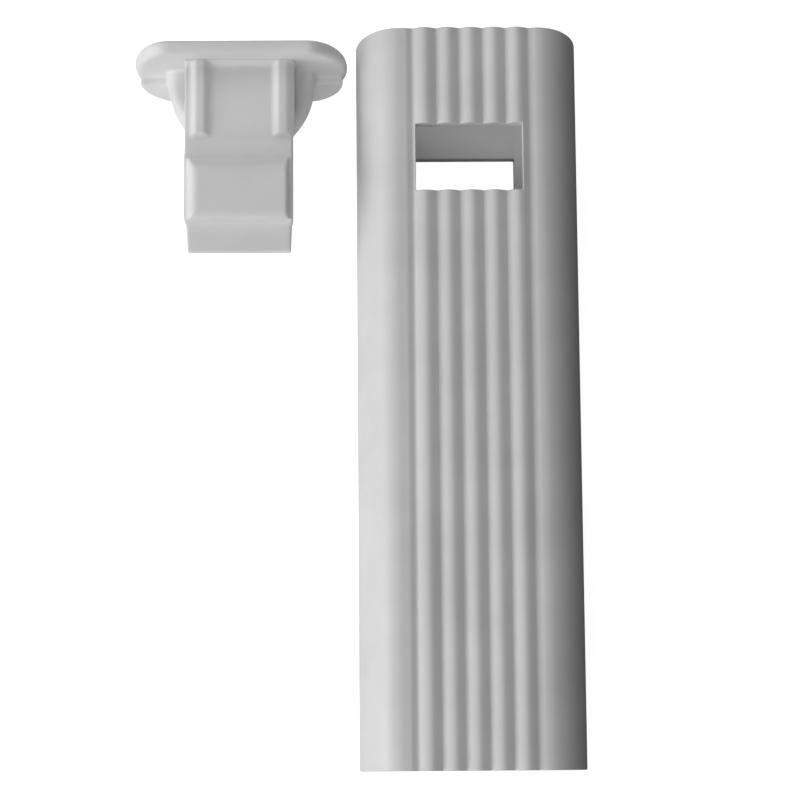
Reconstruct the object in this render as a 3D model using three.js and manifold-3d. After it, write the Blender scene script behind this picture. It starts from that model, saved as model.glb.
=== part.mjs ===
// Stair gate latch: a fluted grip sleeve and the snap-in end cap that closes its upper end.
// Millimetres. The sleeve lies on its back: +X across it, +Y along it to the capped end,
// +Z out of the fluted face. The origin is the middle of the sleeve's flat back.

import * as THREE from "three";
import { mergeVertices } from "three/addons/utils/BufferGeometryUtils.js";
import Module from "manifold-3d";

const wasm = await Module();
wasm.setup();

// Grip sleeve, a thin-walled oval tube
const sleeveLength = 131;
const sleeveWidth = 40;
const faceHeight = 28.1; // plain part of the fluted face above the back
const frontCornerWidth = 7.6;
const backCornerWidth = 9.2;
const wall = 2.2;

// Flutes: rounded ribs on the grip face
const ribCount = 5;
const ribPitch = 4.1;
const ribShift = 0.45; // the ribs sit this far to the right of the sleeve's middle
const ribProud = 0.6;
const grooveDepth = 0.3;
const ribRoundness = 0.5; // 1 is a plain cosine wave, 0.5 round crests between sharp grooves
const ribSteps = 12;
const ribRunOut = 1.4; // from the last groove up to the plain face

// Windows, one through each broad wall
const windowWidth = 18.9;
const windowHeight = 12.05;
const windowBelowTop = 17.6;

// End cap
const capInset = 0.65; // the cap's rim lies this far inside the sleeve's outline
const capFaceInset = 0; // and this far inside its plain face
const plateThickness = 2.7;
const plateEdge = 0.9; // rounding of the plate's rim
const stepDrop = 1.7; // the rear half of the cap hangs lower by this much
const stepInset = 0.8;
const coreRadius = 13.3;
const coreCentreDrop = 1.6;
const coreThickness = 8.2;

// Snap tongues, one towards each window. The rear one is a little narrower and shorter.
const frontTongue = {
  width: 19.4,
  blockWidth: 18.2,
  tipLength: 4.85,
  tipSetBack: 2.2,
  rootDrop: 0,
  guides: [-6.9, 7.9],
};
const rearTongue = {
  width: 17.2,
  blockWidth: 17.2,
  tipLength: 1.5,
  tipSetBack: 1.2,
  rootDrop: stepDrop,
  guides: [-6.4, 6.4],
};
const legThickness = 2.2;
const legRelief = 2.1; // the leg's face lies this far inside the sleeve's wall
const guideWidth = 1.6; // at its crest
const guideFoot = 4.4;
const guideHeight = 1;
const guideLength = 14.1;
const guideSink = 0.5; // how deep a guide's foot is sunk into the leg
const blockHeight = 9.7;
const blockRampLength = 3;
const rampIntoWindow = 1.68; // how much of the ramp shows inside the window
const blockRecess = 0.3; // the pressed face lies this far inside the sleeve's plain face
const blockDraft = 0.6;
const faceShift = 0.2; // the pressed face sits this far to the right of the leg's middle
const blockEdge = 1.1;
const edgeKnee = 0.33; // where the pressed face's rounded edge turns, as a share of it
const tipThickness = 1.8;
const tipShelf = 0.4; // the tip's face starts this far below the leg's
const tipInset = 0.2; // and this far in from the leg's sides
const tipTaper = 0.25;

// Clearances and layout
const jointGap = 0.3; // between pieces that touch
const windowGap = 0.35; // between the block and its window, along the sleeve
const beyond = 5; // how far a cutting solid reaches past what it cuts
const overlap = 1; // how far joined solids run into each other
const layoutGap = 1.6; // between the cap, set aside, and the sleeve
const capLevel = 1.95; // the cap's top lies this far below the sleeve's end

const curveSteps = 20;
const widestHeight = faceHeight / 2; // the oval is as deep in front of its widest place as behind
const innerFront = faceHeight - wall;
const midHeight = (innerFront + wall) / 2; // the tongues are alike either side of it
const capOffset = -(sleeveWidth + sleeveWidth - 2 * capInset) / 2 - layoutGap;

const plastic = { color: 0xdadada, roughness: 0.48, metalness: 0 };

// ---- solids ----

function solidFrom(geometry) {
  const bare = geometry.index ? geometry.toNonIndexed() : geometry.clone();
  bare.deleteAttribute("normal");
  bare.deleteAttribute("uv");
  const merged = mergeVertices(bare, 1e-4);
  return new wasm.Manifold(
    new wasm.Mesh({
      numProp: 3,
      vertProperties: new Float32Array(merged.attributes.position.array),
      triVerts: new Uint32Array(merged.index.array),
    }),
  );
}

function meshFrom(name, solid) {
  const made = solid.getMesh();
  const geometry = new THREE.BufferGeometry();
  geometry.setAttribute("position", new THREE.BufferAttribute(made.vertProperties, 3));
  geometry.setIndex(new THREE.BufferAttribute(made.triVerts, 1));
  geometry.computeVertexNormals();
  const mesh = new THREE.Mesh(geometry, new THREE.MeshStandardMaterial(plastic));
  mesh.name = name;
  return mesh;
}

// An outline in (x, z), extruded from y0 up to y1
function alongY(outline, y0, y1, edge = 0) {
  const geometry = new THREE.ExtrudeGeometry(outline, {
    depth: y1 - y0 - 2 * edge,
    bevelEnabled: edge > 0,
    bevelThickness: edge,
    bevelSize: edge,
    bevelOffset: -edge,
    bevelSegments: 4,
    curveSegments: curveSteps,
  });
  geometry.rotateX(Math.PI / 2);
  geometry.translate(0, y1 - edge, 0);
  return solidFrom(geometry);
}

// An outline in (y, z), extruded across x, centred on it
function alongX(outline, width) {
  const geometry = new THREE.ExtrudeGeometry(outline, { depth: width, bevelEnabled: false });
  const turn = new THREE.Matrix4();
  turn.set(0, 0, 1, -width / 2, 1, 0, 0, 0, 0, 1, 0, 0, 0, 0, 0, 1);
  geometry.applyMatrix4(turn);
  return solidFrom(geometry);
}

// An outline in (x, y), extruded from z0 up to z1
function alongZ(outline, z0, z1) {
  const geometry = new THREE.ExtrudeGeometry(outline, {
    depth: z1 - z0,
    bevelEnabled: false,
    curveSegments: curveSteps,
  });
  geometry.translate(0, 0, z0);
  return solidFrom(geometry);
}

function box(x0, x1, y0, y1, z0, z1) {
  const geometry = new THREE.BoxGeometry(x1 - x0, y1 - y0, z1 - z0);
  geometry.translate((x0 + x1) / 2, (y0 + y1) / 2, (z0 + z1) / 2);
  return solidFrom(geometry);
}

function polygon(points) {
  return new THREE.Shape(points.map(([a, b]) => new THREE.Vector2(a, b)));
}

// ---- outlines ----

// Height of the fluted face at a distance from the middle rib
function fluteHeight(x) {
  const groove = faceHeight - grooveDepth;
  const half = (ribCount * ribPitch) / 2;
  const beyond = Math.abs(x) - half;
  if (beyond >= ribRunOut) return faceHeight;
  if (beyond > 0) return groove + (grooveDepth * (1 - Math.cos((Math.PI * beyond) / ribRunOut))) / 2;
  const phase = ribCount % 2 ? 0 : ribPitch / 2;
  const wave = (1 + Math.cos((2 * Math.PI * (x + phase)) / ribPitch)) / 2;
  return groove + (ribProud + grooveDepth) * Math.pow(wave, ribRoundness);
}

// The sleeve's oval, moved inwards by inset at the sides and back and by faceInset at the front
function oval(inset, faceInset = inset, fluted = false) {
  const half = sleeveWidth / 2 - inset;
  const front = faceHeight - faceInset;
  const frontX = sleeveWidth / 2 - frontCornerWidth;
  const backX = sleeveWidth / 2 - backCornerWidth;
  const outline = new THREE.Shape();
  outline.moveTo(-backX, inset);
  outline.lineTo(backX, inset);
  outline.absellipse(backX, widestHeight, half - backX, widestHeight - inset, -Math.PI / 2, 0);
  outline.absellipse(frontX, widestHeight, half - frontX, front - widestHeight, 0, Math.PI / 2);
  if (fluted) {
    const reach = (ribCount * ribPitch) / 2 + ribRunOut;
    const step = ribPitch / ribSteps;
    const count = Math.ceil((2 * reach) / step);
    for (let i = 1; i < count; i++) {
      const x = reach - (2 * reach * i) / count;
      outline.lineTo(ribShift + x, fluteHeight(x));
    }
  }
  outline.lineTo(-frontX, front);
  outline.absellipse(-frontX, widestHeight, half - frontX, front - widestHeight, Math.PI / 2, Math.PI);
  outline.absellipse(-backX, widestHeight, half - backX, widestHeight - inset, Math.PI, 1.5 * Math.PI);
  return outline;
}

// ---- pieces ----

function gripSleeve() {
  const end = sleeveLength / 2;
  const windowTop = end - windowBelowTop;
  const halfWindow = windowWidth / 2;
  const outer = alongY(oval(0, 0, true), -end, end);
  const bore = alongY(oval(wall), -end - beyond, end + beyond);
  const windows = box(
    -halfWindow,
    halfWindow,
    windowTop - windowHeight,
    windowTop,
    -beyond,
    faceHeight + beyond,
  );
  const rebate = box(
    -sleeveWidth,
    sleeveWidth,
    end - stepDrop,
    end + beyond,
    -beyond,
    midHeight + jointGap,
  );
  return outer.subtract(bore).subtract(windows).subtract(rebate);
}

// Cap pieces have y = 0 at the underside of the plate, which seats on the sleeve's end.
function endCap() {
  const plate = alongY(oval(capInset, capFaceInset), 0, plateThickness, plateEdge);
  const stepOutline = alongY(oval(capInset + stepInset), -stepDrop, plateThickness / 2);
  const rearHalf = box(
    -sleeveWidth,
    sleeveWidth,
    -stepDrop - beyond,
    plateThickness,
    -beyond,
    midHeight,
  );
  const coreOutline = new THREE.Shape();
  coreOutline.moveTo(coreRadius, plateThickness / 2);
  coreOutline.lineTo(-coreRadius, plateThickness / 2);
  coreOutline.lineTo(-coreRadius, -coreCentreDrop);
  coreOutline.absarc(0, -coreCentreDrop, coreRadius, Math.PI, 2 * Math.PI, false);
  const core = alongZ(coreOutline, midHeight - coreThickness / 2, midHeight + coreThickness / 2);
  return plate.add(stepOutline.intersect(rearHalf)).add(core);
}

// A solid with the ramp, the pressed face and its rounded lower edge as its profile along the tongue
function blockProfile(width, levels) {
  const { rampStart, blockTop, blockBottom, legFace, legBack, pressFace } = levels;
  const knee = blockEdge * edgeKnee;
  return alongX(
    polygon([
      [rampStart, legFace],
      [rampStart, legBack],
      [blockBottom, legBack],
      [blockBottom, pressFace - blockEdge],
      [blockBottom + knee, pressFace - knee],
      [blockBottom + blockEdge, pressFace],
      [blockTop, pressFace],
    ]),
    width,
  );
}

// A solid with the block's drafted, round-edged sides as its section
function blockSection(blockWidth, levels) {
  const { blockBottom, root, legBack, shelf, pressFace } = levels;
  const foot = blockWidth / 2;
  const face = foot - blockDraft;
  const knee = face + blockEdge * edgeKnee;
  const kneeHeight = pressFace - 2 * blockEdge * edgeKnee;
  const flat = face - blockEdge / 2;
  return alongY(
    polygon([
      [-foot, legBack],
      [foot, legBack],
      [foot, shelf],
      [knee + faceShift, kneeHeight],
      [flat + faceShift, pressFace],
      [-flat + faceShift, pressFace],
      [-knee + faceShift, kneeHeight],
      [-foot, shelf],
    ]),
    blockBottom,
    root,
  );
}

// The lead-in tip slants back from the block and narrows a little
function leadInTip(tongue, levels) {
  const { blockBottom, legFace, legBack, tipEnd } = levels;
  const face = legFace - tipShelf;
  const endFace = face - tongue.tipSetBack;
  const side = polygon([
    [blockBottom + overlap, face],
    [blockBottom + overlap, legBack],
    [blockBottom, legBack],
    [tipEnd, endFace - tipThickness],
    [tipEnd, endFace],
    [blockBottom, face],
  ]);
  const half = tongue.width / 2 - tipInset;
  const plan = polygon([
    [-half, blockBottom + overlap],
    [-half + tipTaper, tipEnd],
    [half - tipTaper, tipEnd],
    [half, blockBottom + overlap],
  ]);
  return alongX(side, tongue.width).intersect(alongZ(plan, legBack - beyond, faceHeight));
}

function guideRib(x, levels) {
  const { root, legFace } = levels;
  const section = polygon([
    [x - guideFoot / 2, legFace - guideSink],
    [x + guideFoot / 2, legFace - guideSink],
    [x + guideFoot / 2, legFace],
    [x + guideWidth / 2, legFace + guideHeight],
    [x - guideWidth / 2, legFace + guideHeight],
    [x - guideFoot / 2, legFace],
  ]);
  return alongY(section, -guideLength, root);
}

// A tongue towards the front window, with its root just below the cap
function snapTongue(tongue) {
  const root = -tongue.rootDrop - jointGap;
  const legFace = innerFront - legRelief;
  const legBack = legFace - legThickness;
  const shelf = innerFront - jointGap; // as far out as the tongue may reach behind the wall
  const pressFace = faceHeight - blockRecess;
  const rampStart = -(windowBelowTop + windowGap + jointGap - blockRampLength + rampIntoWindow);
  const blockTop = rampStart - blockRampLength;
  const blockBottom = blockTop - blockHeight;
  const tipEnd = blockBottom - tongue.tipLength;
  const levels = { root, legFace, legBack, shelf, pressFace, rampStart, blockTop, blockBottom, tipEnd };

  const half = tongue.width / 2;
  const leg = box(-half, half, blockBottom, root, legBack, legFace);
  const behindWall = box(-half, half, blockBottom, root, legBack, shelf);
  const throughWindow = blockSection(tongue.blockWidth, levels);
  const block = blockProfile(tongue.width, levels).intersect(behindWall.add(throughWindow));
  const whole = leg.add(block).add(leadInTip(tongue, levels));
  return tongue.guides.reduce((solid, x) => solid.add(guideRib(x, levels)), whole);
}

// Turned about the sleeve's long axis at mid height, the front tongue becomes the rear one.
function turnedToRear(mesh) {
  mesh.rotation.y = Math.PI;
  mesh.position.z = 2 * midHeight;
  return mesh;
}

// ---- assembly ----

const latch = new THREE.Group();
latch.add(meshFrom("grip_sleeve", gripSleeve()));

const plug = new THREE.Group();
plug.position.set(capOffset, sleeveLength / 2 - capLevel - plateThickness, 0);
plug.add(meshFrom("end_cap", endCap()));
plug.add(meshFrom("front_snap_tongue", snapTongue(frontTongue)));
plug.add(turnedToRear(meshFrom("rear_snap_tongue", snapTongue(rearTongue))));
latch.add(plug);

export default latch;
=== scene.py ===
import bmesh
import bpy
import math
from mathutils import Matrix, Vector


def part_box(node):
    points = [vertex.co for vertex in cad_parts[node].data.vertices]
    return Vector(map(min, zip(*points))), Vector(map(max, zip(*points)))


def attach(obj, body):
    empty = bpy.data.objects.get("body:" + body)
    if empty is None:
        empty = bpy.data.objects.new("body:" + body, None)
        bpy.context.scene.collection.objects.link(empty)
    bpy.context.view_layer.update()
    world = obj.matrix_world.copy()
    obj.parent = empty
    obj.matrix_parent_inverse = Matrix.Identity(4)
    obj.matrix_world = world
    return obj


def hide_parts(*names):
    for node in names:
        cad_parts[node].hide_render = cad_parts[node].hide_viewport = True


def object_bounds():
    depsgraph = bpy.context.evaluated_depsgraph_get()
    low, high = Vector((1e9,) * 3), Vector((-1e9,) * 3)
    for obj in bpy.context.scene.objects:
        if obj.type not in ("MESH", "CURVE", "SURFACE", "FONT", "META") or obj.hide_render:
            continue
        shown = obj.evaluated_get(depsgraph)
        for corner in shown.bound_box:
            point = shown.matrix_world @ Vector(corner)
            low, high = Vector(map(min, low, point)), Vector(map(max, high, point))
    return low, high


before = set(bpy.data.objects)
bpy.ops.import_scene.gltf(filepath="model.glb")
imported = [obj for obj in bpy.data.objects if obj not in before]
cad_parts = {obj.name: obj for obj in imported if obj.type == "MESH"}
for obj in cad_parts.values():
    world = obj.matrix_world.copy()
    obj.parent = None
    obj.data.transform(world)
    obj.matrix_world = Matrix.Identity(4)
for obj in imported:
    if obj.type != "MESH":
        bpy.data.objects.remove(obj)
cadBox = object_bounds()
mm = 0.001
perMm = 1 / mm
corner = math.radians(40)   # an edge that turns by more than this is a corner
weld = 1e-6


# sRGB hex to linear
def linear(hexColour):
    channels = [int(hexColour[i:i + 2], 16) / 255 for i in (1, 3, 5)]
    rgb = [c / 12.92 if c <= 0.04045 else ((c + 0.055) / 1.055) ** 2.4 for c in channels]
    return (*rgb, 1)


def addNode(tree, kind, settings=None, values=None, links=None):
    node = tree.nodes.new(kind)
    for name, value in (settings or {}).items():
        setattr(node, name, value)
    for name, value in (values or {}).items():
        node.inputs[name].default_value = value
    for name, source in (links or {}).items():
        tree.links.new(source, node.inputs[name])
    return node


def newPiece(name, bm, body, node, material):
    mesh = bpy.data.meshes.new(name)
    bm.to_mesh(mesh)
    bm.free()
    piece = bpy.data.objects.new(name, mesh)
    bpy.context.scene.collection.objects.link(piece)
    mesh.materials.append(material)
    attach(piece, body)
    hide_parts(node)
    return piece


# the lens stands over the sleeve's open end, near its left side, and looks up along it
view = {
    "height": 450.98,
    "fromSide": 1.53,       # in from the sleeve's left side
    "beyondEnd": 0.1,       # past the open end
    "tilt": 8.607,          # degrees, towards the capped end
    "pan": 0.797,           # degrees, towards the sleeve
    "roll": 0.457,
    "lens": 110.62,
    "sensor": 36,
}


def addCamera():
    sleeveLow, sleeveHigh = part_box("grip_sleeve")
    data = bpy.data.cameras.new("studioCamera")
    data.lens = view["lens"]
    data.sensor_width = view["sensor"]
    data.clip_start = 0.01
    camera = bpy.data.objects.new("studioCamera", data)
    camera.location = (
        sleeveLow.x + view["fromSide"] * mm,
        sleeveLow.y - view["beyondEnd"] * mm,
        view["height"] * mm,
    )
    turn = Matrix.Rotation(math.radians(view["tilt"]), 3, "X")
    turn = Matrix.Rotation(-math.radians(view["pan"]), 3, "Y") @ turn
    turn = turn @ Matrix.Rotation(-math.radians(view["roll"]), 3, "Z")
    camera.rotation_euler = turn.to_euler()
    bpy.context.scene.collection.objects.link(camera)
    bpy.context.scene.camera = camera


# the sweep throws light back from the left and little from the right, where it is grey;
# the lens sees it lit up from below, as behind a cut-out. Metres and watts.
studio = {
    "floorSize": 6.0,
    "floorDrop": 0.05,                # mm, below the object
    "floorLeft": "#F4F4F4",
    "floorRight": "#828282",
    "floorChange": (-0.03, 0.03),
    "floorGlow": 0.93,
    "floorFill": 0.05,
    "skyColour": "#FFFFFF",
    "skyLight": 0.06,
    "key": {"at": (-1.01, -0.28, 0.29), "size": (1.40, 0.46), "power": 6.5},
    "low": {"at": (-0.30, -1.08, 0.70), "size": (1.00, 0.90), "power": 3.8},
    "over": {"at": (-0.22, -0.35, 1.06), "size": (0.80, 0.60), "power": 2.0},
    "top": {"at": (-0.22, 0.83, 0.65), "size": (0.90, 0.80), "power": 3.8},
}


def addFloor():
    bm = bmesh.new()
    bmesh.ops.create_grid(bm, x_segments=1, y_segments=1, size=studio["floorSize"] / 2)
    mesh = bpy.data.meshes.new("studioFloor")
    bm.to_mesh(mesh)
    bm.free()
    floor = bpy.data.objects.new("studioFloor", mesh)
    floor.location.z = cadBox[0][2] - studio["floorDrop"] * mm
    bpy.context.scene.collection.objects.link(floor)
    material = bpy.data.materials.new("litAcrylicSweep")
    material.use_nodes = True
    tree = material.node_tree
    shader = tree.nodes["Principled BSDF"]
    place = addNode(tree, "ShaderNodeTexCoord").outputs["Object"]
    across = addNode(tree, "ShaderNodeSeparateXYZ", links={"Vector": place}).outputs["X"]
    start, stop = studio["floorChange"]
    share = addNode(tree, "ShaderNodeMapRange", values={
        "From Min": start, "From Max": stop}, links={"Value": across}).outputs["Result"]
    paint = addNode(tree, "ShaderNodeMix", {"data_type": "RGBA"}, links={"Factor": share})
    paint.inputs["A"].default_value = linear(studio["floorLeft"])
    paint.inputs["B"].default_value = linear(studio["floorRight"])
    tree.links.new(paint.outputs["Result"], shader.inputs["Base Color"])
    shader.inputs["Roughness"].default_value = 0.9
    shader.inputs["Specular IOR Level"].default_value = 0.1
    shader.inputs["Emission Color"].default_value = (1, 1, 1, 1)
    ray = addNode(tree, "ShaderNodeLightPath")
    fill = addNode(tree, "ShaderNodeMapRange", values={
        "To Min": studio["floorFill"], "To Max": 0.0}, links={"Value": share})
    glow = addNode(tree, "ShaderNodeMix", values={"B": studio["floorGlow"]}, links={
        "Factor": ray.outputs["Is Camera Ray"], "A": fill.outputs["Result"]})
    tree.links.new(glow.outputs["Result"], shader.inputs["Emission Strength"])
    mesh.materials.append(material)


def addLight(name, spec):
    data = bpy.data.lights.new(name, "AREA")
    data.shape = "ELLIPSE"
    data.size, data.size_y = spec["size"]
    data.energy = spec["power"]
    light = bpy.data.objects.new(name, data)
    light.location = spec["at"]
    light.rotation_euler = (-Vector(spec["at"])).to_track_quat("-Z", "Y").to_euler()
    bpy.context.scene.collection.objects.link(light)


def addSky():
    world = bpy.data.worlds.new("studioSky")
    world.use_nodes = True
    tree = world.node_tree
    tree.nodes.clear()
    ray = addNode(tree, "ShaderNodeLightPath")
    colour = linear(studio["skyColour"])
    seen = addNode(tree, "ShaderNodeBackground", values={"Color": colour, "Strength": 1.0})
    lit = addNode(tree, "ShaderNodeBackground", values={
        "Color": colour, "Strength": studio["skyLight"]})
    mix = addNode(tree, "ShaderNodeMixShader")
    tree.links.new(ray.outputs["Is Camera Ray"], mix.inputs[0])
    tree.links.new(lit.outputs[0], mix.inputs[1])
    tree.links.new(seen.outputs[0], mix.inputs[2])
    addNode(tree, "ShaderNodeOutputWorld", links={"Surface": mix.outputs[0]})
    bpy.context.scene.world = world


addCamera()
addFloor()
for lightName in ("key", "low", "over", "top"):
    addLight(lightName + "Light", studio[lightName])
addSky()
bpy.context.scene.view_settings.view_transform = "Standard"
print("camera, floor and light are set")


# injection-moulded white ABS from a satin tool: soft highlights, a fine even grain, drawn a
# little coarse so that it shows, faint drag lines where it slid off the core, and very slight
# clouding of the pigment
whiteAbs = {
    "light": "#DEDEDE",
    "deep": "#D7D7D7",
    "roughness": (0.40, 0.52),
    "ior": 1.53,
    "grain": 0.22,      # mm, the tool's spark-eroded texture
    "cloud": 14.0,      # mm, between lighter and darker patches
    "drag": 0.35,       # mm, between drag lines
    "dragLength": 40.0,
    "grainDepth": 0.006,
    "dragDepth": 0.004,
}


def mouldedPlastic(name, spec):
    material = bpy.data.materials.new(name)
    material.use_nodes = True
    tree = material.node_tree
    shader = tree.nodes["Principled BSDF"]
    place = addNode(tree, "ShaderNodeTexCoord").outputs["Object"]

    cloud = addNode(tree, "ShaderNodeTexNoise", values={
        "Scale": perMm / spec["cloud"], "Detail": 3.0, "Roughness": 0.55}, links={"Vector": place})
    colour = addNode(tree, "ShaderNodeMix", settings={"data_type": "RGBA"})
    colour.inputs["A"].default_value = linear(spec["deep"])
    colour.inputs["B"].default_value = linear(spec["light"])
    sharpen = addNode(tree, "ShaderNodeMapRange", values={
        "From Min": 0.35, "From Max": 0.65}, links={"Value": cloud.outputs["Fac"]})
    tree.links.new(sharpen.outputs["Result"], colour.inputs["Factor"])
    tree.links.new(colour.outputs["Result"], shader.inputs["Base Color"])

    grain = addNode(tree, "ShaderNodeTexNoise", values={
        "Scale": perMm / spec["grain"], "Detail": 2.0, "Roughness": 0.6}, links={"Vector": place})
    stretched = addNode(tree, "ShaderNodeMapping", links={"Vector": place})
    stretched.inputs["Scale"].default_value = (
        perMm / spec["drag"], perMm / spec["dragLength"], perMm / spec["drag"])
    drag = addNode(tree, "ShaderNodeTexNoise", values={
        "Scale": 1.0, "Detail": 3.0, "Roughness": 0.5}, links={"Vector": stretched.outputs["Vector"]})

    low, high = spec["roughness"]
    rough = addNode(tree, "ShaderNodeMapRange", values={
        "From Min": 0.3, "From Max": 0.7, "To Min": low, "To Max": high},
        links={"Value": drag.outputs["Fac"]})
    tree.links.new(rough.outputs["Result"], shader.inputs["Roughness"])

    lines = addNode(tree, "ShaderNodeBump", values={
        "Strength": 1.0, "Distance": spec["dragDepth"] * mm}, links={"Height": drag.outputs["Fac"]})
    bump = addNode(tree, "ShaderNodeBump", values={
        "Strength": 1.0, "Distance": spec["grainDepth"] * mm},
        links={"Height": grain.outputs["Fac"], "Normal": lines.outputs["Normal"]})
    tree.links.new(bump.outputs["Normal"], shader.inputs["Normal"])
    shader.inputs["IOR"].default_value = spec["ior"]
    return material


# the plug is the same process in acetal: a paler, waxier white, with fainter drag lines
whiteAcetal = dict(
    whiteAbs,
    light="#EDEDED",
    deep="#E7E6E6",
    roughness=(0.44, 0.54),
    ior=1.48,
    dragDepth=0.002,
)

sleeveAbs = mouldedPlastic("satinWhiteAbs", whiteAbs)
plugAcetal = mouldedPlastic("mouldedWhiteAcetal", whiteAcetal)
print("materials are made")


sleeveSizes = {
    "length": 131.0,
    "width": 40.0,
    "faceHeight": 28.1,
    "widestHeight": 14.05,
    "frontCorner": 7.6,
    "backCorner": 9.2,
    "wall": 2.2,
    "ribCount": 5,
    "ribPitch": 4.1,
    "ribShift": 0.45,      # to the right of the sleeve's middle
    "ribProud": 0.6,
    "groove": 0.3,
    "ribRoundness": 0.5,
    "ribRunOut": 1.4,
    "window": (18.9, 12.05),
    "windowBelowTop": 17.6,
    "rebate": 1.7,        # the back half of the capped end is this much lower
    "stepEase": 0.4,      # slope of the step between the two levels
    "endEdge": 0.3,       # rounding of the two ends
    "windowEdge": 0.22,
    "windowCorner": math.radians(50),
    "windowSteps": 112,   # places across the window, which the ribs' curve needs
    "marginSteps": 12,    # from the window's side to the plain face
    "frontSteps": 28,     # up each front corner
    "backSteps": 18,      # round each back corner
    "flatSteps": 3,       # on the flat back, beside the window
    "endSteps": 4,        # over each end's rounding
}


def fluteHeight(x):
    s = sleeveSizes
    half = s["ribCount"] * s["ribPitch"] / 2
    x -= s["ribShift"]
    beyond = abs(x) - half
    if beyond >= s["ribRunOut"]:
        return s["faceHeight"]
    if beyond > 0:
        return s["faceHeight"] - s["groove"] * (1 + math.cos(math.pi * beyond / s["ribRunOut"])) / 2
    wave = abs(math.cos(math.pi * x / s["ribPitch"])) ** (2 * s["ribRoundness"])
    return s["faceHeight"] - s["groove"] + (s["ribProud"] + s["groove"]) * wave


def steps(start, stop, count):
    return [start + (stop - start) * i / count for i in range(count)]


def arc(count):
    return steps(0, math.pi / 2, count)


# the end steps down between these two heights
def stepLevels():
    middle = sleeveSizes["widestHeight"]
    return middle, middle + sleeveSizes["stepEase"]


# places round the oval, the same number whatever the inset, so inner and outer places pair up;
# where the wall's end steps down there is one place just above and one just below the step
def ovalPlaces(inset, faceInset, fluted=False):
    s = sleeveSizes
    half = s["width"] / 2 - inset
    front = s["faceHeight"] - faceInset
    widest = s["widestHeight"]
    backX = s["width"] / 2 - s["backCorner"]
    frontX = s["width"] / 2 - s["frontCorner"]
    edge = s["window"][0] / 2
    margin = s["ribCount"] * s["ribPitch"] / 2 + s["ribRunOut"] + s["ribShift"]
    across, beside = s["windowSteps"], s["marginSteps"]
    face = steps(frontX, margin, 1) + steps(margin, edge, beside) + steps(edge, -edge, across)
    face += steps(-edge, -margin, beside) + steps(-margin, -frontX, 1)
    flat = s["flatSteps"]
    back = steps(-backX, -edge, flat) + steps(-edge, edge, across) + steps(edge, backX, flat)
    turn = arc(s["backSteps"])
    places = [(x, inset) for x in back]
    places += [(backX + (half - backX) * math.sin(a), widest - (widest - inset) * math.cos(a))
               for a in turn]
    stepAt = math.asin((stepLevels()[1] - widest) / (front - widest))
    rise = steps(0, stepAt, 1) + steps(stepAt, math.pi / 2, s["frontSteps"])
    places += [(frontX + (half - frontX) * math.cos(a), widest + (front - widest) * math.sin(a))
               for a in rise]
    places += [(x, (fluteHeight(x) - faceInset) if fluted else front) for x in face]
    places += [(-frontX, front)]
    places += [(-frontX - (half - frontX) * math.cos(a), widest + (front - widest) * math.sin(a))
               for a in reversed(rise)]
    places += [(-backX - (half - backX) * math.cos(a), widest - (widest - inset) * math.sin(a))
               for a in turn[1:]]
    return places


# how far in from the outside, and how far along, each row of the sleeve's wall lies
def wallRows():
    s = sleeveSizes
    end = s["length"] / 2
    edge = s["endEdge"]
    wall = s["wall"]
    windowTop = end - s["windowBelowTop"]
    windowLow = windowTop - s["window"][1]
    rim = [(edge * (1 - math.cos(a)), end - edge * (1 - math.sin(a))) for a in arc(s["endSteps"])]
    rim += [(edge, end)]
    rim += [(wall - inset, y) for inset, y in reversed(rim)]
    rows = [(0, windowLow), (0, windowTop)] + rim
    rows += [(wall, windowTop), (wall, windowLow)] + [(inset, -y) for inset, y in reversed(rim)]
    return rows


# a flat sheet is rolled round the oval and turned in at both ends, so that it closes on itself
def rolledWall():
    s = sleeveSizes
    rows = wallRows()
    rows = rows + rows[:1]
    rings = [ovalPlaces(inset, inset, fluted=inset < s["wall"] / 2) for inset, y in rows]
    across, along = len(rings[0]), len(rows) - 1
    bm = bmesh.new()
    bmesh.ops.create_grid(bm, x_segments=across, y_segments=along, size=0.5)
    steppedEnd = s["length"] / 2 - s["rebate"]
    middle = stepLevels()[0]
    for vert in bm.verts:
        column = round((vert.co.x + 0.5) * across) % across
        row = round((vert.co.y + 0.5) * along)
        x, z = rings[row][column]
        y = rows[row][1]
        if y > steppedEnd and z < middle + s["stepEase"] / 2:
            y -= s["rebate"]
        vert.co = (x * mm, y * mm, z * mm)
    bmesh.ops.remove_doubles(bm, verts=bm.verts, dist=weld)
    return bm


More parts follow.
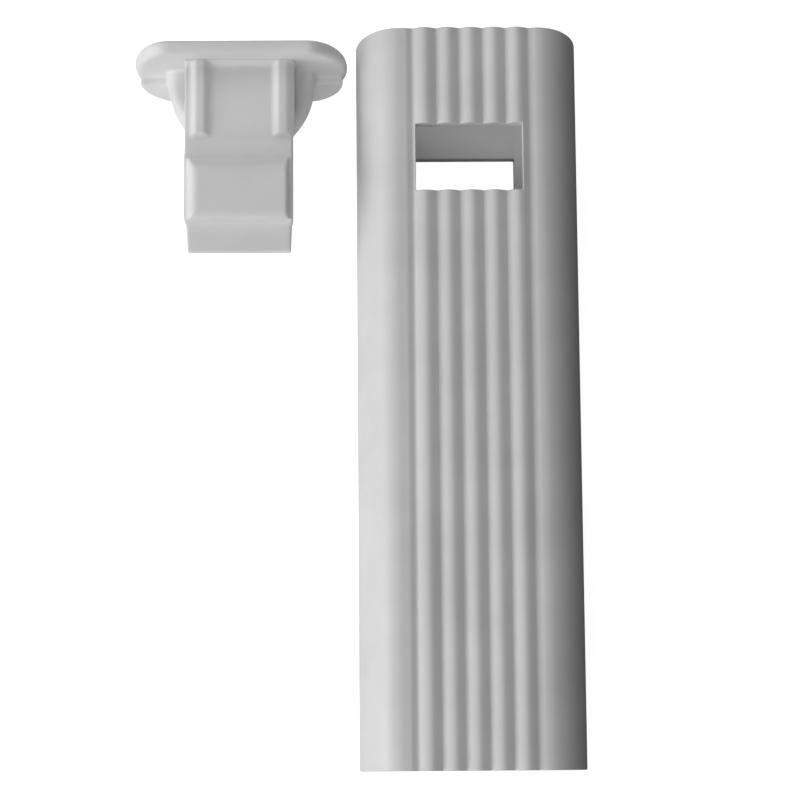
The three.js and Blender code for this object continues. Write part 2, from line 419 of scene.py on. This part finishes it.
def gripSleeve():
    s = sleeveSizes
    bm = rolledWall()
    windowTop = s["length"] / 2 - s["windowBelowTop"]
    windowLow = windowTop - s["window"][1]
    halfWindow = s["window"][0] / 2
    near = 0.01

    def inWindow(place):
        if abs(place.x) > (halfWindow + near) * mm:
            return False
        return (windowLow - near) * mm < place.y < (windowTop + near) * mm

    opening = [f for f in bm.faces if inWindow(f.calc_center_median())]
    bmesh.ops.delete(bm, geom=opening, context="FACES")
    middle = s["faceHeight"] / 2 * mm
    inside = (s["faceHeight"] - s["wall"] + near) * mm
    rim = [e for e in bm.edges if e.is_boundary
           and all(v.co.z > inside or v.co.z < (s["wall"] - near) * mm for v in e.verts)]
    made = bmesh.ops.extrude_edge_only(bm, edges=rim)["geom"]
    for vert in [g for g in made if isinstance(g, bmesh.types.BMVert)]:
        vert.co.z = (s["faceHeight"] - s["wall"] if vert.co.z > middle else s["wall"]) * mm
    bmesh.ops.remove_doubles(bm, verts=bm.verts, dist=weld)
    bmesh.ops.recalc_face_normals(bm, faces=bm.faces)
    corners = [e for e in bm.edges if e.calc_face_angle(0) > s["windowCorner"]
               and all(inWindow(v.co) for v in e.verts)]
    bmesh.ops.bevel(bm, geom=corners, offset=s["windowEdge"] * mm, segments=3, profile=0.5,
                    affect="EDGES", loop_slide=True, material=-1)
    for face in bm.faces:
        face.smooth = True
    piece = newPiece("fluted_grip_sleeve", bm, "sleeve", "grip_sleeve", sleeveAbs)
    piece.data.set_sharp_from_angle(angle=corner)
    return piece


gripSleeve()
print("grip sleeve is made")


capSizes = {
    "inset": 0.65,
    "faceInset": 0.0,
    "plate": 2.7,
    "plateEdge": 1.1,
    "step": 1.7,
    "stepInset": 0.8,
    "stepEdge": 1.1,       # rounding of the step's straight front edge
    "coreRadius": 13.3,
    "coreDrop": 1.6,
    "coreThickness": 8.2,
    "coreEdge": 2.2,
    "coreSegments": 96,
    "voxel": 0.22,         # fineness of the one skin that joins the cap's parts
    "soften": 10,
}
tongueSizes = {
    "thickness": 2.2,
    "relief": 2.1,                   # the leg's face lies this far inside the sleeve's wall
    "wallGap": 0.3,                  # between the block's shelf and the inside of the wall
    "sink": 0.3,                     # how deep a guide, the toe or the web is set into the leg
    "blockSink": 0.5,                # and how deep the block's parts are set into each other
    "guide": (1.5, 4.5, 0.85, 14.1), # width at the crest and at the foot, height and length
    "guideEase": 0.6,                # slope of its lower end
    "block": 9.7,                    # length of the pressed face
    "rampStart": 16.93,              # below the plate's underside
    "ramp": 3.0,
    "blockRecess": 0.3,
    "blockDraft": 0.6,
    "faceShift": 0.2,                # the pressed face sits a little to the right of the leg
    "rampToe": 14.4,                 # the leg begins to rise here towards the ramp
    "toeHeight": 1.5,
    "toeFeather": 0.05,              # the toe ends this far under the leg's face
    "blockEdge": 1.2,
    "tip": (0.4, 0.2, 0.25),         # set below the leg's face, in from its sides, and tapered
    "tipThickness": 1.8,
    "tipOverlap": 1,                 # how far the tip runs up into the block
    "rootFillet": 0.7,
    "filletFeather": 0.02,
    "rootOverlap": 0.4,              # how far the root runs up into the cap
    "voxel": 0.2,
    "soften": 12,
}
frontTongue = {
    "width": 19.4,
    "blockWidth": 18.2,
    "tip": 4.85,
    "setBack": 2.2,
    "root": 0.3,
    "guides": (-6.9, 7.9),
}
rearTongue = {
    "width": 17.2,
    "blockWidth": 17.2,
    "tip": 1.5,
    "setBack": 1.2,
    "root": 2.0,
    "guides": (-6.4, 6.4),
}

innerFront = sleeveSizes["faceHeight"] - sleeveSizes["wall"]
midHeight = (innerFront + sleeveSizes["wall"]) / 2
capLow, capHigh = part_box("end_cap")
capMiddle = (capLow.x + capHigh.x) / 2
capSeat = capHigh.y - capSizes["plate"] * mm


def ovalRing(bm, places, y):
    ring = bmesh.ops.create_circle(bm, segments=len(places), radius=1)["verts"]
    for vert, (x, z) in zip(ring, places):
        vert.co = (x * mm, y * mm, z * mm)
    return ring


def extruded(bm, ring, offset):
    face = bmesh.ops.contextual_create(bm, geom=list({e for v in ring for e in v.link_edges}))["faces"]
    made = bmesh.ops.extrude_face_region(bm, geom=face)["geom"]
    verts = [g for g in made if isinstance(g, bmesh.types.BMVert)]
    bmesh.ops.translate(bm, vec=Vector(offset) * mm, verts=verts)
    body = list(set(ring) | set(verts))
    faces = list({f for v in body for f in v.link_faces})
    bmesh.ops.recalc_face_normals(bm, faces=faces)
    return body


# rounds the corners among these vertices, or those that a test picks
def bevelSharp(bm, verts, width, segments, test=None):
    chosen = set(verts)
    edges = {e for v in verts for e in v.link_edges if all(w in chosen for w in e.verts)}
    sharp = [e for e in edges if e.calc_face_angle(0) > corner and (not test or test(e))]
    bmesh.ops.bevel(bm, geom=sharp, offset=width * mm, segments=segments, profile=0.5,
                    affect="EDGES", loop_slide=True, material=-1)


# a block with its own corners: low and high x, y and z, and how far the outer face draws in
def block(bm, xs, ys, zs, outer=None):
    verts = bmesh.ops.create_cube(bm, size=1)["verts"]
    for vert in verts:
        pick = [1 if c > 0 else 0 for c in vert.co]
        x, y, z = xs[pick[0]], ys[pick[1]], zs[pick[2]]
        if outer and pick[2]:
            x, y = outer[0][pick[0]], outer[1][pick[1]]
        vert.co = (x * mm, y * mm, z * mm)
    return verts


def moulded(name, bm, body, node, sizes):
    piece = newPiece(name, bm, body, node, plugAcetal)
    remesh = piece.modifiers.new("oneSkin", "REMESH")
    remesh.mode = "VOXEL"
    remesh.voxel_size = sizes["voxel"] * mm
    remesh.use_smooth_shade = True
    soften = piece.modifiers.new("softEdges", "SMOOTH")
    soften.factor = 0.5
    soften.iterations = sizes["soften"]
    shaped = piece.evaluated_get(bpy.context.evaluated_depsgraph_get())
    final = bpy.data.meshes.new_from_object(shaped)
    piece.modifiers.clear()
    piece.data = final
    return piece


def endCap():
    c = capSizes
    bm = bmesh.new()
    plate = ovalRing(bm, ovalPlaces(c["inset"], c["faceInset"]), 0)
    plate = extruded(bm, plate, (0, c["plate"], 0))
    bevelSharp(bm, plate, c["plateEdge"], 8)

    stepBm = bmesh.new()
    stepInset = c["inset"] + c["stepInset"]
    step = ovalRing(stepBm, ovalPlaces(stepInset, stepInset), -c["step"])
    extruded(stepBm, step, (0, c["step"] + c["plate"] / 2, 0))
    geometry = stepBm.verts[:] + stepBm.edges[:] + stepBm.faces[:]
    cut = bmesh.ops.bisect_plane(stepBm, geom=geometry, plane_co=(0, 0, midHeight * mm),
                                 plane_no=(0, 0, 1), clear_outer=True)["geom_cut"]
    bmesh.ops.edgeloop_fill(stepBm, edges=[g for g in cut if isinstance(g, bmesh.types.BMEdge)])

    def atFrontCorner(edge):
        near = 0.01
        return all(v.co.y < (near - c["step"]) * mm and v.co.z > (midHeight - near) * mm
                   for v in edge.verts)

    bevelSharp(stepBm, stepBm.verts[:], c["stepEdge"], 5, atFrontCorner)

    coreBm = bmesh.new()
    core = bmesh.ops.create_circle(coreBm, segments=c["coreSegments"], radius=c["coreRadius"] * mm)["verts"]
    coreBack = midHeight - c["coreThickness"] / 2
    bmesh.ops.translate(coreBm, vec=(0, -c["coreDrop"] * mm, coreBack * mm), verts=core)
    core = extruded(coreBm, core, (0, 0, c["coreThickness"]))
    bevelSharp(coreBm, core, c["coreEdge"], 8)
    geometry = coreBm.verts[:] + coreBm.edges[:] + coreBm.faces[:]
    cut = bmesh.ops.bisect_plane(coreBm, geom=geometry, plane_co=(0, c["plate"] / 2 * mm, 0),
                                 plane_no=(0, 1, 0), clear_outer=True)["geom_cut"]
    bmesh.ops.edgeloop_fill(coreBm, edges=[g for g in cut if isinstance(g, bmesh.types.BMEdge)])
    for extra in (stepBm, coreBm):
        mesh = bpy.data.meshes.new("capPart")
        extra.to_mesh(mesh)
        extra.free()
        bm.from_mesh(mesh)
        bpy.data.meshes.remove(mesh)
    bmesh.ops.translate(bm, vec=(capMiddle, capSeat, 0), verts=bm.verts)
    return moulded("snap_end_cap", bm, "cap", "end_cap", c)


def snapTongue(name, body, node, tongue, rear=False):
    t = tongueSizes
    face = innerFront - t["relief"]
    back = face - t["thickness"]
    shelf = innerFront - t["wallGap"]
    press = sleeveSizes["faceHeight"] - t["blockRecess"]
    half = tongue["width"] / 2
    blockTop = -t["rampStart"] - t["ramp"]
    blockLow = blockTop - t["block"]
    root = -tongue["root"] + t["rootOverlap"]
    sunk = face - t["sink"]
    near = 0.1
    bm = bmesh.new()
    block(bm, (-half, half), (blockLow, root), (back, face))

    slope = t["ramp"] / (press - face)
    shelfTop = -t["rampStart"] - slope * (shelf - face)
    block(bm, (-half, half), (blockLow, -t["rampStart"]), (face - t["blockSink"], shelf),
          ((-half, half), (blockLow, shelfTop)))
    toe = block(bm, (-half, half), (blockTop, -t["rampToe"]), (sunk, face + t["toeHeight"]))
    for vert in toe:
        if vert.co.z > face * mm and vert.co.y > (blockTop + near) * mm:
            vert.co.z = (face - t["toeFeather"]) * mm
    wide = tongue["blockWidth"] / 2
    left, right = -wide + t["blockDraft"] + t["faceShift"], wide - t["blockDraft"] + t["faceShift"]
    snapTop = shelfTop + slope * t["blockSink"]
    snap = block(bm, (-wide, wide), (blockLow, snapTop), (shelf - t["blockSink"], press),
                 ((left, right), (blockLow, blockTop)))

    def roundedRim(edge):
        onFace = all(v.co.z > (press - near) * mm for v in edge.verts)
        onRight = all(v.co.x > (right - near) * mm for v in edge.verts)
        return onFace and not onRight

    bevelSharp(bm, snap, t["blockEdge"], 6, roundedRim)

    lower, inset, taper = t["tip"]
    tipHalf = half - inset
    tipTop, tipEnd = blockLow + t["tipOverlap"], blockLow - tongue["tip"]
    tip = block(bm, (-tipHalf, tipHalf), (tipEnd, tipTop), (back, face - lower))
    for vert in tip:
        if vert.co.y < (blockLow - t["tipOverlap"]) * mm:
            vert.co.x *= 1 - taper / tipHalf
            low = vert.co.z < (back + near) * mm
            vert.co.z = (face - lower - tongue["setBack"] - (t["tipThickness"] if low else 0)) * mm

    top, foot, height, length = t["guide"]
    for x in tongue["guides"]:
        block(bm, (x - foot / 2, x + foot / 2), (-length, root), (sunk, face + height),
              ((x - top / 2, x + top / 2), (-length + t["guideEase"], root)))
    fillet = t["rootFillet"]
    web = block(bm, (-half, half), (-tongue["root"] - fillet, root), (sunk, face + fillet))
    for vert in web:
        if vert.co.z > face * mm and vert.co.y < -tongue["root"] * mm:
            vert.co.z = (face - t["filletFeather"]) * mm
    if rear:
        turn = Matrix.Rotation(math.pi, 3, "Y")
        bmesh.ops.rotate(bm, verts=bm.verts, cent=(0, 0, midHeight * mm), matrix=turn)
    bmesh.ops.translate(bm, vec=(capMiddle, capSeat, 0), verts=bm.verts)
    return moulded(name, bm, body, node, t)


endCap()
print("end cap is made")
snapTongue("front_latch_tongue", "front_tongue", "front_snap_tongue", frontTongue)
snapTongue("rear_latch_tongue", "rear_tongue", "rear_snap_tongue", rearTongue, rear=True)
print("snap tongues are made")
